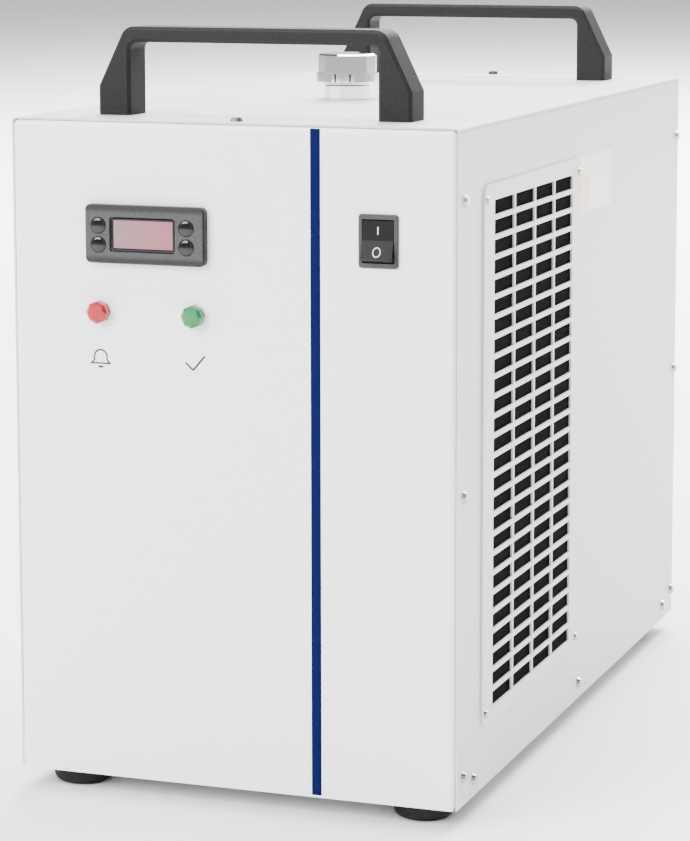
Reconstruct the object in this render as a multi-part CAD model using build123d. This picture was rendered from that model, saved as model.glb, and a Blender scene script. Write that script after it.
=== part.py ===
"""A recirculating water chiller: a folded sheet-metal cabinet on rubber feet, with carrying handles, a filler
on the top, a temperature controller on the front, grilles on the sides and a fan at the back. Inside are the
water tank, the pump and the cooling circuit.

Millimetres. X runs across the front, Y from the front face to the back, Z up from the floor. The model is
drawn with Y = 0 on the front face, and every piece is moved at the end so that the middle of the whole
length lies on Y = 0."""

import os
from math import cos, pi, radians, sin, tan

from build123d import *

os.makedirs("parts", exist_ok=True)

# Cabinet
body_width = 290.0
body_depth = 546.0
body_height = 412.5
foot_height = 13.0
sheet = 1.2
tray_sheet = 1.5
bend = 3.0            # outside radius of a folded edge
fit_gap = 0.3         # air between sheets that slide past each other
seat_gap = 0.2        # air between a loose piece and its seat
setback = 2.0         # the cover's edge lies this far behind the front and rear faces
tray_height = 22.0
return_depth = 20.0   # the folded edges of the front and rear panels

# Cabinet screws
screw_r = 2.0
screw_head_r = 4.0
screw_head_height = 2.4
screw_hole_r = 2.2
front_screw_y = 13.0
rear_screw_inset = 8.0
corner_screw_inset = 34.0
tray_screw_z = 11.0
high_screw_z = 369.0
mid_screw_z = 191.0
low_screw_z = 18.0

# Side grilles, measured from the front face and from the cabinet's underside
grille_front = 47.5
grille_length = 217.0
grille_bottom = 37.5
grille_height = 337.5
grille_sheet = 1.5
grille_corner_r = 9.0
slot_columns = 4
slot_rows = 26
slot_length = 38.5
slot_height = 8.8
rib_upright = 7.0
rib_level = 3.5
filter_lap = 4.0      # the filter reaches this far past the slots
grille_screw_inset = (5.5, 9.5)
grille_screw_r = 1.6
grille_screw_head_r = 2.9

# Handles
handle_span = 206.0
handle_leg = 21.5
handle_depth = 26.0
handle_rise = 55.0
handle_straight = 18.0
handle_top_span = 170.0
handle_grip = 9.5
handle_edge_r = 2.0
handle_inset = 38.0   # from the front face, and from the rear face
handle_bolt_r = 3.0
handle_bolt_length = 18.0

# Filler
filler_x = -9.0
filler_y = 234.0
neck_bore_r = 10.5
neck_r = 12.5
collar_r = 15.3
collar_height = 9.0
cap_sides = 12
cap_r = 19.9
cap_flange_r = 21.0
cap_flange_height = 7.5
cap_knob_height = 13.0
cap_clearance = 0.5
gasket_thickness = 1.0
thread_length = 14.0

# Controller, measured from the cabinet's middle and underside
controller_x = -53.75
controller_z = 343.0
bezel_width = 79.0
bezel_height = 36.0
bezel_proud = 5.2
case_width = 70.5
case_height = 28.5
case_depth = 58.0
cutout_gap = 0.4
window_width = 43.4
window_height = 21.4
window_shift = -1.4
window_sink = 1.6
button_r = 4.9
button_proud = 0.9
button_travel = 0.8
button_flange = 0.9
button_gap = 0.25
button_x = (-30.5, 27.7)
button_z = (5.2, -6.5)

# Rocker switch
rocker_x = 95.7
rocker_z = 344.6
rocker_frame_width = 25.0
rocker_frame_height = 32.3
rocker_frame_proud = 1.8
rocker_case_width = 22.6
rocker_case_height = 28.8
rocker_case_depth = 20.0
rocker_width = 19.5
rocker_r = 12.8
rocker_gap = 0.35
rocker_pivot_depth = 3.0
rocker_pin_r = 1.5
rocker_pin_length = 0.8
rocker_pin_gap = 0.05
rocker_tilt = 11.0    # degrees each way from the middle

# Lamps
lamp_x = (-86.0, -23.1)
lamp_z = 294.3
lamp_sides = 8
lens_r = 7.0
lens_proud = 7.0
lamp_thread_r = 5.0
lamp_depth = 24.0
lamp_nut_r = 8.0
lamp_nut_height = 4.0

# Feet
foot_r = 19.3
foot_side_inset = 30.0
foot_front_inset = 30.0
foot_rear_inset = 46.0
foot_bolt_r = 2.5

# Fan
fan_x = -20.0
fan_z = 134.0
fan_bore_r = 100.0
fan_tip_gap = 3.0
fan_depth = 34.0
fan_flange = 220.0
fan_wall = 2.5
hub_r = 38.0
hub_depth = 26.0
blade_count = 5
blade_sheet = 2.0
shaft_r = 4.0
shaft_gap = 0.05
motor_r = 30.0
guard_bar = 2.4
guard_rings = 6
guard_pitch = 17.0
guard_stand_off = 5.0
guard_boss_r = 5.5
guard_hole_r = 2.4

# Water tank and its shelf
shelf_height = 236.0
shelf_sheet = 1.5
tank_x = (-128.0, 62.0)
tank_y = (150.0, 400.0)
tank_height = 132.0
tank_wall = 3.0
tank_corner_r = 12.0

# Cooling circuit
condenser_front = 58.0
condenser_length = 196.0
condenser_core = 30.0
condenser_side_gap = 12.0
condenser_height = 330.0
condenser_plate = 1.2
condenser_bends = 6
pipe_r = 4.0
compressor_x = -28.0
compressor_y = 404.0
compressor_r = 74.0
compressor_height = 188.0
grommet_r = 11.0
grommet_height = 14.0
grommet_spread = 62.0
evaporator_x = -16.0
evaporator_y = 96.0
evaporator_size = (70.0, 84.0, 190.0)
drier_r = 12.0
drier_length = 80.0
drier_x = 88.0
drier_y = 296.0

# Pump
pump_x = -78.0
pump_y = 76.0
pump_motor_r = 38.0
pump_motor_length = 92.0
pump_head_r = 42.0
pump_head_length = 40.0
pump_axis_height = 62.0

# Electrical plate behind the controller
plate_y = 92.0
plate_x = (-126.0, 84.0)
plate_rise = 126.0
plate_sheet = 1.5

# Rear fittings, measured from the cabinet's middle and underside
outlet_place = (-52.0, 350.0)
return_place = (2.0, 350.0)
drain_place = (117.0, 42.0)
barb_bore_r = 3.3
barb_r = 5.0
barb_length = 26.0
barb_hex_r = 11.0
barb_hex_height = 7.0
gauge_x = -112.0
gauge_z = (262.0, 388.0)
gauge_width = 22.0
gauge_tube_r = 5.0
gauge_depth = 16.0
inlet_x = 104.0
inlet_z = 330.0
inlet_width = 50.0
inlet_height = 44.0
inlet_cavity = (25.0, 17.0, 15.0)
fuse_drawer_size = (26.0, 9.0, 16.0)
fuse_drawer_travel = 14.0
alarm_x = 62.0
alarm_z = 372.0
alarm_r = 9.0
drain_thread_r = 9.0
drain_cap_r = 13.0
drain_cap_depth = 16.0
drain_reach = 18.0
drain_hex_height = 4.0
drain_washer = 1.2

# What follows from them
base_z = foot_height
top_z = base_z + body_height
tray_floor = base_z + tray_sheet
tray_top = base_z + tray_height
inner_half = body_width / 2 - sheet
panel_width = 2 * (inner_half - fit_gap)
panel_height = body_height - sheet - fit_gap
slot_pitch_y = slot_length + rib_upright
slot_pitch_z = slot_height + rib_level
slots_length = slot_columns * slot_pitch_y - rib_upright
slots_height = slot_rows * slot_pitch_z - rib_level
slots_y = grille_front + (grille_length - slots_length) / 2
slots_z = base_z + grille_bottom + (grille_height - slots_height) / 2
shelf_z = base_z + shelf_height
tank_z = shelf_z
tank_top = tank_z + tank_height
rear_reach = barb_hex_height + barb_length
length_middle = (body_depth + rear_reach - lens_proud) / 2


def save(name, *solids):
    """Write one piece, or a set of like pieces, moved to the part's own origin."""
    placed = [Pos(0, -length_middle, 0) * solid for solid in solids]
    export_step(placed[0] if len(placed) == 1 else Compound(children=placed), f"parts/{name}.step")


def slab(x0, x1, y0, y1, z0, z1):
    """A box between its low and high corners."""
    middle = Pos((x0 + x1) / 2, (y0 + y1) / 2, (z0 + z1) / 2)
    return middle * Box(x1 - x0, y1 - y0, z1 - z0)


def forward(x, y, z):
    """A drawing plane that faces the front: its own X is X, its own Y is Z."""
    return Plane(origin=(x, y, z), x_dir=(1, 0, 0), z_dir=(0, -1, 0))


def backward(x, y, z):
    """A drawing plane that faces the back."""
    return Plane(origin=(x, y, z), x_dir=(-1, 0, 0), z_dir=(0, 1, 0))


def sideways(x, y, z):
    """A drawing plane that faces +X: its own X is Y, its own Y is Z."""
    return Plane(origin=(x, y, z), x_dir=(0, 1, 0), z_dir=(1, 0, 0))


def upright(x, y, z):
    """A drawing plane that faces up."""
    return Plane(origin=(x, y, z))


def disc(plane, radius, height):
    """A round bar from the plane, along the way the plane faces."""
    return extrude(plane * Circle(radius), height)


def tube(plane, outer, inner, height):
    """A round bar with a hole through it."""
    return extrude(plane * (Circle(outer) - Circle(inner)), height)


def turned(plane, *points):
    """A piece turned on a lathe: (radius, height) points, spun round the plane's normal."""
    half = make_face(Polyline(*[(r, 0, h) for r, h in points], close=True))
    return plane.location * revolve(half, Axis.Z)


def pan_screw(plane, grip, shank_r=screw_r, head_r=screw_head_r, head_height=screw_head_height):
    """A screw whose crowned head stands on the plane and whose shank goes behind it, kept to few faces."""
    head = extrude(plane * RegularPolygon(head_r, 12), head_height, taper=24)
    shank = extrude(plane * RegularPolygon(shank_r, 6), -grip)
    return head + shank


def side_screw_places():
    """(y, z) of the screws that hold each side of the cover."""
    rear_y = body_depth - rear_screw_inset
    front = [(front_screw_y, base_z + z) for z in (high_screw_z, mid_screw_z, low_screw_z)]
    rear = [(rear_y, base_z + z) for z in (high_screw_z, mid_screw_z, low_screw_z)]
    low_y = (corner_screw_inset, body_depth / 2, body_depth - corner_screw_inset)
    return front + rear + [(y, base_z + tray_screw_z) for y in low_y]


def cabinet_screw_holes():
    """The holes that every sheet shares: through both sides, and through the top at front and back."""
    sides = [disc(sideways(-body_width, y, z), screw_hole_r, 2 * body_width) for y, z in side_screw_places()]
    tops = [disc(upright(0, y, top_z - bend), screw_hole_r, 2 * bend)
            for y in (front_screw_y, body_depth - rear_screw_inset)]
    return sides + tops


def make_tray():
    """The base: one sheet folded up on four sides, with holes for the feet and the compressor."""
    half = panel_width / 2
    outer = slab(-half, half, sheet, body_depth - sheet, base_z, tray_top)
    outer = fillet(outer.faces().sort_by(Axis.Z)[0].edges(), bend)
    inner = slab(-half + tray_sheet, half - tray_sheet, sheet + tray_sheet, body_depth - sheet - tray_sheet,
                 tray_floor, tray_top + bend)
    inner = fillet(inner.faces().sort_by(Axis.Z)[0].edges(), bend - tray_sheet)
    tray = outer - inner - cabinet_screw_holes()
    tray -= [disc(upright(x, y, base_z - 1), foot_bolt_r + 0.3, 4) for x, y in foot_places()]
    return tray - [disc(upright(x, y, base_z - 1), 3.3, 4) for x, y in grommet_places()]


def make_panel(at_front):
    """The front or rear panel: a face with folded returns at the top and down both sides.

    The returns stop above the tray's own flange, which they would otherwise meet."""
    half = panel_width / 2
    face_y = 0.0 if at_front else body_depth
    inward = 1 if at_front else -1
    near, far = sorted((face_y, face_y + inward * return_depth))
    outer = slab(-half, half, near, far, base_z, base_z + panel_height)
    outer = fillet([e for e in outer.edges().filter_by(Axis.Y) if e.center().Z > base_z + 1], bend)
    face = outer.faces().sort_by(Axis.Y)[0 if at_front else -1]
    edges = [edge for edge in face.edges() if edge.center().Z > base_z + 1]
    outer = fillet(edges, bend)
    near, far = sorted((face_y + inward * sheet, face_y + inward * (return_depth + 1)))
    inner = slab(-half + sheet, half - sheet, near, far, base_z - bend, base_z + panel_height - sheet)
    face = inner.faces().sort_by(Axis.Y)[0 if at_front else -1]
    edges = [edge for edge in face.edges() if edge.center().Z > base_z + 1]
    inner = fillet(edges, bend - sheet)
    relief = slab(-body_width, body_width, near, far, base_z - 1, tray_top + fit_gap)
    notch = bend + 1.5
    z0 = base_z + panel_height - notch
    y0, y1 = sorted((face_y + inward * bend, face_y + inward * (return_depth + 1)))
    notches = [slab(x0, x0 + notch, y0, y1, z0, z0 + 2 * notch) for x0 in (-half, half - notch)]
    panel = outer - inner - relief - notches - cabinet_screw_holes()
    return panel


def foot_places():
    """(x, y) of the four feet."""
    x = body_width / 2 - foot_side_inset
    return [(sx * x, y) for y in (foot_front_inset, body_depth - foot_rear_inset) for sx in (-1, 1)]


def grommet_places():
    """(x, y) of the compressor's four rubber mounts."""
    return [(compressor_x + sx * grommet_spread, compressor_y + sy * grommet_spread)
            for sx in (-1, 1) for sy in (-1, 1)]


def handle_places():
    """The y of each handle's middle."""
    return [handle_inset + handle_depth / 2, body_depth - handle_inset - handle_depth / 2]


def handle_bolt_places():
    """(x, y) of the handle bolts, one up through each leg."""
    x = (handle_span - handle_leg) / 2
    return [(sx * x, y) for y in handle_places() for sx in (-1, 1)]


def grille_window(x0, x1):
    """The cut-out in the cover's side that the filter sits in."""
    y0, z0 = slots_y - filter_lap, slots_z - filter_lap
    window = slab(x0, x1, y0, y0 + slots_length + 2 * filter_lap, z0, z0 + slots_height + 2 * filter_lap)
    return fillet(window.edges().filter_by(Axis.X), filter_lap)


def grille_screw_places():
    """(y, z) of the four screws of each grille plate."""
    dy, dz = grille_screw_inset
    z0 = base_z + grille_bottom
    return [(y, z) for y in (grille_front + dy, grille_front + grille_length - dy)
            for z in (z0 + dz, z0 + grille_height - dz)]


def make_cover():
    """The cover: top and both sides in one sheet, folded over the panels and the tray."""
    half = body_width / 2
    outer = slab(-half, half, setback, body_depth - setback, base_z, top_z)
    outer = fillet([e for e in outer.edges().filter_by(Axis.Y) if e.center().Z > base_z + 1], bend)
    inner = slab(-inner_half, inner_half, 0, body_depth, base_z - bend, top_z - sheet)
    inner = fillet([e for e in inner.edges().filter_by(Axis.Y) if e.center().Z > base_z + 1], bend - sheet)
    cover = outer - inner - cabinet_screw_holes() - grille_window(-body_width, body_width)
    cover -= disc(upright(filler_x, filler_y, top_z - bend), neck_r + 1, 2 * bend)
    cover -= [disc(upright(x, y, top_z - bend), handle_bolt_r + 0.3, 2 * bend) for x, y in handle_bolt_places()]
    cover -= [disc(sideways(-body_width, y, z), grille_screw_r + 0.2, 2 * body_width)
              for y, z in grille_screw_places()]
    return cover


def make_grille(side):
    """The grille: a plate with rounded corners and a grid of slots. side is 1 on the right, -1 on the left."""
    x0 = body_width / 2 if side > 0 else -body_width / 2 - grille_sheet
    middle_y = grille_front + grille_length / 2
    middle_z = base_z + grille_bottom + grille_height / 2
    plate = RectangleRounded(grille_length, grille_height, grille_corner_r)
    slots = GridLocations(slot_pitch_y, slot_pitch_z, slot_columns, slot_rows) * Rectangle(slot_length, slot_height)
    grille = extrude(sideways(x0, middle_y, middle_z) * (plate - slots), grille_sheet)
    return grille - [disc(sideways(x0 - 1, y, z), grille_screw_r + 0.2, grille_sheet + 2)
                     for y, z in grille_screw_places()]


def make_filter(side):
    """The dust filter: a thin mesh pad that fills the cover's cut-out behind the grille."""
    x0 = body_width / 2 - sheet if side > 0 else -body_width / 2
    y0, z0 = slots_y - filter_lap + fit_gap, slots_z - filter_lap + fit_gap
    pad = slab(x0, x0 + sheet, y0, y0 + slots_length + 2 * (filter_lap - fit_gap),
               z0, z0 + slots_height + 2 * (filter_lap - fit_gap))
    return fillet(pad.edges().filter_by(Axis.X), filter_lap - fit_gap)


def make_handle(middle_y):
    """A carrying handle: legs that rise straight and lean in to a flat grip, moulded in one piece."""
    half, top = handle_span / 2, handle_top_span / 2
    y1 = middle_y + handle_depth / 2
    outline = Polyline((-half, 0), (-half, handle_straight), (-top, handle_rise), (top, handle_rise),
                       (half, handle_straight), (half, 0), close=True)
    bar = extrude(forward(0, y1, top_z) * make_face(outline), handle_depth)
    bar = fillet([e for e in bar.edges().filter_by(Axis.Y) if e.center().Z > top_z + handle_rise - 1], 9)
    opening = slab(-half + handle_leg, half - handle_leg, y1 - handle_depth - 1, y1 + 1,
                   top_z - 1, top_z + handle_rise - handle_grip)
    opening = fillet([e for e in opening.edges().filter_by(Axis.Y) if e.center().Z > top_z], 5)
    bar = bar - opening
    faces = [bar.faces().sort_by(Axis.Y)[0], bar.faces().sort_by(Axis.Y)[-1]]
    rims = [e for face in faces for e in face.edges() if e.center().Z > top_z + 0.1]
    bar = chamfer(rims, handle_edge_r)
    bores = [disc(upright(x, y, top_z - 1), handle_bolt_r, handle_bolt_length - 2)
             for x, y in handle_bolt_places() if abs(y - middle_y) < 1]
    return bar - bores


def make_filler_neck():
    """The filler neck: a pipe from the tank up through the cover, with a faceted collar under the cap."""
    bottom = tank_top - tank_wall
    pipe = disc(upright(filler_x, filler_y, bottom), neck_r, top_z + collar_height + thread_length - bottom)
    collar = extrude(upright(filler_x, filler_y, top_z) * RegularPolygon(collar_r, cap_sides), collar_height)
    bore = disc(upright(filler_x, filler_y, bottom - 1), neck_bore_r, body_height)
    return pipe + collar - bore


def make_filler_cap():
    """The cap: a round flange bevelled below, a twelve-sided grip above, and a blind bore for the neck."""
    z0 = top_z + collar_height + gasket_thickness
    bevel = 2.0
    flange = turned(upright(filler_x, filler_y, z0), (0, 0), (cap_flange_r - bevel, 0), (cap_flange_r, bevel),
                    (cap_flange_r, cap_flange_height), (0, cap_flange_height))
    knob = extrude(upright(filler_x, filler_y, z0 + cap_flange_height) * RegularPolygon(cap_r, cap_sides),
                   cap_knob_height)
    knob = chamfer(knob.faces().sort_by(Axis.Z)[-1].edges(), 1.2)
    bore = disc(upright(filler_x, filler_y, z0 - 1), neck_r + cap_clearance, thread_length + 1.5)
    return flange + knob - bore


def controller_at(dx, dz, y):
    """A plane on the controller, measured from its middle."""
    return forward(controller_x + dx, y, base_z + controller_z + dz)


def button_places():
    """(dx, dz) of the four buttons, from the controller's middle."""
    return [(dx, dz) for dx in button_x for dz in button_z]


def make_bezel():
    """The controller's front frame, with a sunk window and four button guides counterbored from behind."""
    frame = extrude(controller_at(0, 0, 0) * RectangleRounded(bezel_width, bezel_height, 3.5), bezel_proud)
    frame = chamfer(frame.faces().sort_by(Axis.Y)[0].edges(), 0.8)
    frame -= extrude(controller_at(window_shift, 0, 1) * RectangleRounded(window_width, window_height, 1.5),
                     bezel_proud + 2)
    for dx, dz in button_places():
        frame -= disc(controller_at(dx, dz, 1), button_r + button_gap, bezel_proud + 2)
        frame -= disc(controller_at(dx, dz, 0), button_r + button_flange + button_gap, button_pocket())
    return frame


def button_pocket():
    """How deep the button guides are counterbored, so that the flange has its travel and a seat."""
    return button_flange + button_travel + 2 * button_gap


def make_button(dx, dz):
    """A push button whose flange keeps it in its guide."""
    flange_y = -(button_pocket() - button_gap)
    flange = disc(controller_at(dx, dz, flange_y + button_flange), button_r + button_flange - button_gap / 2,
                  button_flange)
    stem = disc(controller_at(dx, dz, flange_y + button_flange), button_r,
                bezel_proud + button_proud + flange_y + button_flange)
    button = flange + stem
    return chamfer(button.faces().sort_by(Axis.Y)[0].edges(), 0.5)


def make_window():
    """The tinted display window, sunk a little below the frame."""
    return extrude(controller_at(window_shift, 0, 0) * RectangleRounded(
        window_width - 2 * cutout_gap, window_height - 2 * cutout_gap, 1.1), bezel_proud - window_sink)


def make_controller_case():
    """The controller's case, pushed through the front panel's cut-out up to its frame."""
    case = extrude(controller_at(0, 0, case_depth) * Rectangle(case_width, case_height), case_depth)
    return chamfer(case.faces().sort_by(Axis.Y)[-1].edges(), 1.5)


def make_controller_clamps():
    """Two clamps that slide on the case's sides and pull its frame against the panel."""
    clamps = []
    for side in (-1, 1):
        dx = side * (case_width / 2 + 3)
        arm = extrude(controller_at(dx, 0, sheet + 30) * Rectangle(6, 12), 30)
        pad = extrude(controller_at(dx + side * 4, 0, sheet + 4) * Rectangle(14, 12), 4)
        clamps.append(arm + pad - extrude(controller_at(0, 0, 60) * Rectangle(case_width, 20), 62))
    return clamps


def rocker_at(y):
    """A plane on the rocker switch's middle."""
    return forward(rocker_x, y, base_z + rocker_z)


def rocker_pivot():
    """(y, z) of the rocker's pin: behind the frame's face by its depth."""
    return -rocker_frame_proud + rocker_pivot_depth, base_z + rocker_z


def make_rocker_frame():
    """The rocker switch's housing: a flanged frame, an open well for the rocker and the case behind it."""
    frame = extrude(rocker_at(0) * RectangleRounded(rocker_frame_width, rocker_frame_height, 2),
                    rocker_frame_proud)
    frame = chamfer(frame.faces().sort_by(Axis.Y)[0].edges(), 0.6)
    case = extrude(rocker_at(rocker_case_depth) * Rectangle(rocker_case_width, rocker_case_height),
                   rocker_case_depth)
    well_r = rocker_r + rocker_gap
    well = extrude(rocker_at(rocker_pivot()[0]) * Rectangle(rocker_width + 2 * rocker_gap, 2 * well_r),
                   rocker_pivot_depth + 1)
    reach = rocker_width / 2 + rocker_gap
    hollow = disc(sideways(rocker_x - reach, *rocker_pivot()), well_r, 2 * reach)
    reach += rocker_pin_length + seat_gap
    sockets = disc(sideways(rocker_x - reach, *rocker_pivot()), rocker_pin_r + rocker_pin_gap, 2 * reach)
    return frame + case - well - hollow - sockets


def make_rocker():
    """The rocker: two flat pads that meet in a shallow valley, on a round back, with a pin out of each side.

    It lies with its upper pad pressed level with the frame and its lower end out."""
    y0, z0 = rocker_pivot()
    rise = rocker_pivot_depth + rocker_r * tan(radians(rocker_tilt))
    back = disc(sideways(rocker_x - rocker_width / 2, y0, z0), rocker_r, rocker_width)
    front = Polyline((-rocker_pivot_depth, 0), (-rise, rocker_r), (rocker_r, rocker_r), (rocker_r, -rocker_r),
                     (-rise, -rocker_r), close=True)
    body = back & extrude(sideways(rocker_x - rocker_width / 2, y0, z0) * make_face(front), rocker_width)
    reach = rocker_width / 2 + rocker_gap + rocker_pin_length
    body += disc(sideways(rocker_x - reach, y0, z0), rocker_pin_r, 2 * reach)
    return body.rotate(Axis((rocker_x, y0, z0), (1, 0, 0)), -rocker_tilt)


def lamp_at(x, y):
    """A plane on a lamp's middle."""
    return forward(x, y, base_z + lamp_z)


def make_lens(x):
    """A faceted lens: an eight-sided stub with bevelled edges."""
    lens = extrude(lamp_at(x, 0) * RegularPolygon(lens_r, lamp_sides), lens_proud)
    return chamfer(lens.faces().sort_by(Axis.Y)[0].edges(), 1.6)


def make_lamp_body(x):
    """The lamp's threaded body behind the panel, with its nut."""
    stem = disc(lamp_at(x, lamp_depth), lamp_thread_r, lamp_depth)
    nut = extrude(lamp_at(x, sheet + lamp_nut_height) * RegularPolygon(lamp_nut_r, 6), lamp_nut_height)
    return stem + nut


def make_front_panel():
    """The front panel with its cut-outs for the controller, the rocker switch and the lamps."""
    panel = make_panel(at_front=True)
    panel -= extrude(controller_at(0, 0, bend) * Rectangle(case_width + 2 * cutout_gap,
                                                           case_height + 2 * cutout_gap), 2 * bend)
    panel -= extrude(rocker_at(bend) * Rectangle(rocker_case_width + 2 * cutout_gap,
                                                 rocker_case_height + 2 * cutout_gap), 2 * bend)
    return panel - [disc(lamp_at(x, bend), lamp_thread_r + 0.3, 2 * bend) for x in lamp_x]


def make_foot(x, y):
    """A rubber foot: a short cone with a recess below for its bolt head."""
    return turned(upright(x, y, 0), (foot_bolt_r + 0.3, 5), (7, 5), (7, 0), (foot_r - 2.5, 0), (foot_r - 1, 1.5),
                  (foot_r, foot_height), (foot_bolt_r + 0.3, foot_height))


def make_foot_bolt(x, y):
    """The bolt and nut that hold a foot to the tray."""
    head = 3.0
    seat = 5 - seat_gap
    bolt = extrude(upright(x, y, seat) * RegularPolygon(foot_bolt_r, 8), tray_floor + 6 - seat)
    bolt += extrude(upright(x, y, seat - head) * RegularPolygon(5, 6), head)
    return bolt + extrude(upright(x, y, tray_floor) * RegularPolygon(5, 6), 4)


def fan_at(y):
    """A plane on the fan's middle, facing the back."""
    return backward(fan_x, y, base_z + fan_z)


def make_rear_panel():
    """The rear panel with the fan's round opening and the cut-outs for its fittings."""
    panel = make_panel(at_front=False)
    panel -= disc(fan_at(body_depth - bend), fan_bore_r, 2 * bend)
    for x, z in (outlet_place, return_place):
        panel -= disc(backward(x, body_depth - bend, base_z + z), barb_r + 1.5, 2 * bend)
    panel -= disc(backward(drain_place[0], body_depth - bend, base_z + drain_place[1]), drain_thread_r + 0.3,
                  2 * bend)
    panel -= disc(backward(alarm_x, body_depth - bend, base_z + alarm_z), alarm_r - 1.2, 2 * bend)
    panel -= extrude(backward(inlet_x, body_depth - bend, base_z + inlet_z)
                     * Rectangle(inlet_width - 18, inlet_height - 8), 2 * bend)
    for z in gauge_z:
        inward = 9 if z == gauge_z[0] else -9
        panel -= disc(backward(gauge_x, body_depth - bend, base_z + z + inward), 4.3, 2 * bend)
    return panel - [disc(fan_corner(sx, sz, body_depth - bend), guard_hole_r, 2 * bend)
                    for sx in (-1, 1) for sz in (-1, 1)]


def fan_corner(sx, sz, y):
    """A plane on one of the fan's four fixing holes."""
    reach = fan_flange / 2 - 11
    return backward(fan_x + sx * reach, y, base_z + fan_z + sz * reach)


def fan_faces():
    """The y of the shroud's front and back."""
    back = body_depth - sheet
    return back - fan_depth, back


def make_fan_shroud():
    """The fan's shroud: a square flange, a round duct and four arms that carry the motor."""
    front, back = fan_faces()
    flange = extrude(fan_at(back - fan_wall) * RectangleRounded(fan_flange, fan_flange, 14), fan_wall)
    duct = disc(fan_at(front), fan_bore_r + fan_wall, fan_depth)
    shroud = flange + duct - disc(fan_at(front - 1), fan_bore_r, fan_depth + 2)
    ring = disc(fan_at(front), motor_r + 3, fan_wall)
    arms = [Rot(0, 0, 0) * extrude(fan_at(front) * Rot(0, 0, angle)
                                   * Pos((fan_bore_r + motor_r) / 2, 0) * Rectangle(fan_bore_r - motor_r + 2, 9),
                                   fan_wall) for angle in (45, 135, 225, 315)]
    shroud = shroud + ring + arms
    shroud -= disc(fan_at(front - 1), shaft_r + 2, fan_wall + 2)
    return shroud - [disc(fan_corner(sx, sz, back - fan_wall - 1), guard_hole_r, fan_wall + 2)
                     for sx in (-1, 1) for sz in (-1, 1)]


def rotor_faces():
    """The y of the hub's front and back."""
    start = fan_faces()[0] + fan_wall + 1.0
    return start, start + hub_depth


def make_fan_motor():
    """The fan's fixed inner part: a winding block on a stub that ends in the shaft."""
    front, back = fan_faces()
    stub = disc(fan_at(front), shaft_r + 2, fan_wall + 1)
    block = disc(fan_at(front + fan_wall), motor_r, 1.0 - seat_gap)
    shaft = disc(fan_at(front), shaft_r, hub_depth - 2)
    return stub + block + shaft


def make_fan_rotor():
    """The rotor: a hub bored for the shaft, with twisted blades that run close to the duct."""
    start, end = rotor_faces()
    hub = disc(fan_at(start), hub_r, hub_depth)
    hub = fillet(hub.faces().sort_by(Axis.Y)[-1].edges(), 5)
    tip_r = fan_bore_r - fan_tip_gap
    blades = []
    for number in range(blade_count):
        root = Plane(origin=(hub_r - 6, 0, 0), x_dir=(0, 1, 0), z_dir=(1, 0, 0))
        tip = Plane(origin=(tip_r, 0, 0), x_dir=(0, 1, 0), z_dir=(1, 0, 0))
        sections = [root * Rot(0, 0, 38) * Rectangle(32, blade_sheet),
                    tip * Pos(18, 0) * Rot(0, 0, 24) * Rectangle(56, blade_sheet)]
        blade = loft(sections)
        turned_blade = Rot(0, 0, number * 360 / blade_count) * blade
        blades.append(fan_at((start + end) / 2).location * turned_blade)
    duct = disc(fan_at(start), tip_r, hub_depth)
    rotor = hub
    for blade in blades:
        rotor += blade & duct
    return rotor - disc(fan_at(start - 1), shaft_r + shaft_gap, hub_depth - 1.5)


def make_fan_guard():
    """The finger guard behind the fan: flat rings on four arms, standing off the panel on its corner bosses."""
    y0 = body_depth + guard_stand_off
    half = guard_bar / 2
    guard = disc(fan_at(y0), guard_pitch, guard_bar)
    for number in range(1, guard_rings):
        radius = guard_pitch * (number + 1)
        guard += tube(fan_at(y0), radius + half, radius - half, guard_bar)
    reach = (fan_flange / 2 - 11) * 2 ** 0.5
    for angle in (45, 135, 225, 315):
        guard += extrude(fan_at(y0) * Rot(0, 0, angle) * Pos(reach / 2, 0) * Rectangle(reach, guard_bar),
                         guard_bar)
    for sx, sz in ((-1, -1), (-1, 1), (1, -1), (1, 1)):
        guard += disc(fan_corner(sx, sz, body_depth), guard_boss_r, guard_stand_off + guard_bar)
        guard -= disc(fan_corner(sx, sz, body_depth - 1), guard_hole_r, guard_stand_off + guard_bar + 2)
    return guard


def make_fan_screws():
    """The four screws that hold the guard, the panel and the shroud together."""
    grip = guard_stand_off + guard_bar + sheet + fan_wall
    return [pan_screw(fan_corner(sx, sz, body_depth + guard_stand_off + guard_bar), grip)
            for sx in (-1, 1) for sz in (-1, 1)]


def make_shelf():
    """The shelf that carries the tank: a flat top on two legs, each with a large opening for the air."""
    x0, x1 = tank_x[0] - 8, tank_x[1] + 8
    y0, y1 = plate_y - 12, tank_y[1] + 10
    outer = slab(x0, x1, y0, y1, tray_floor, shelf_z)
    inner = slab(x0 + shelf_sheet, x1 - shelf_sheet, y0 - 1, y1 + 1, tray_floor - 1, shelf_z - shelf_sheet)
    opening = slab(x0 - 1, x1 + 1, y0 + 30, y1 - 30, tray_floor + 30, shelf_z - 40)
    return outer - inner - opening


def make_tank():
    """The moulded water tank, hollow, with a mouth for the filler neck."""
    z1 = tank_top
    outer = slab(*tank_x, *tank_y, tank_z, z1)
    outer = fillet(outer.edges().filter_by(Axis.Z), tank_corner_r)
    inner = slab(tank_x[0] + tank_wall, tank_x[1] - tank_wall, tank_y[0] + tank_wall, tank_y[1] - tank_wall,
                 tank_z + tank_wall, z1 - tank_wall)
    inner = fillet(inner.edges().filter_by(Axis.Z), tank_corner_r - tank_wall)
    return outer - inner - disc(upright(filler_x, filler_y, z1 - tank_wall - 1), neck_r + 0.05, tank_wall + 2)


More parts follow.
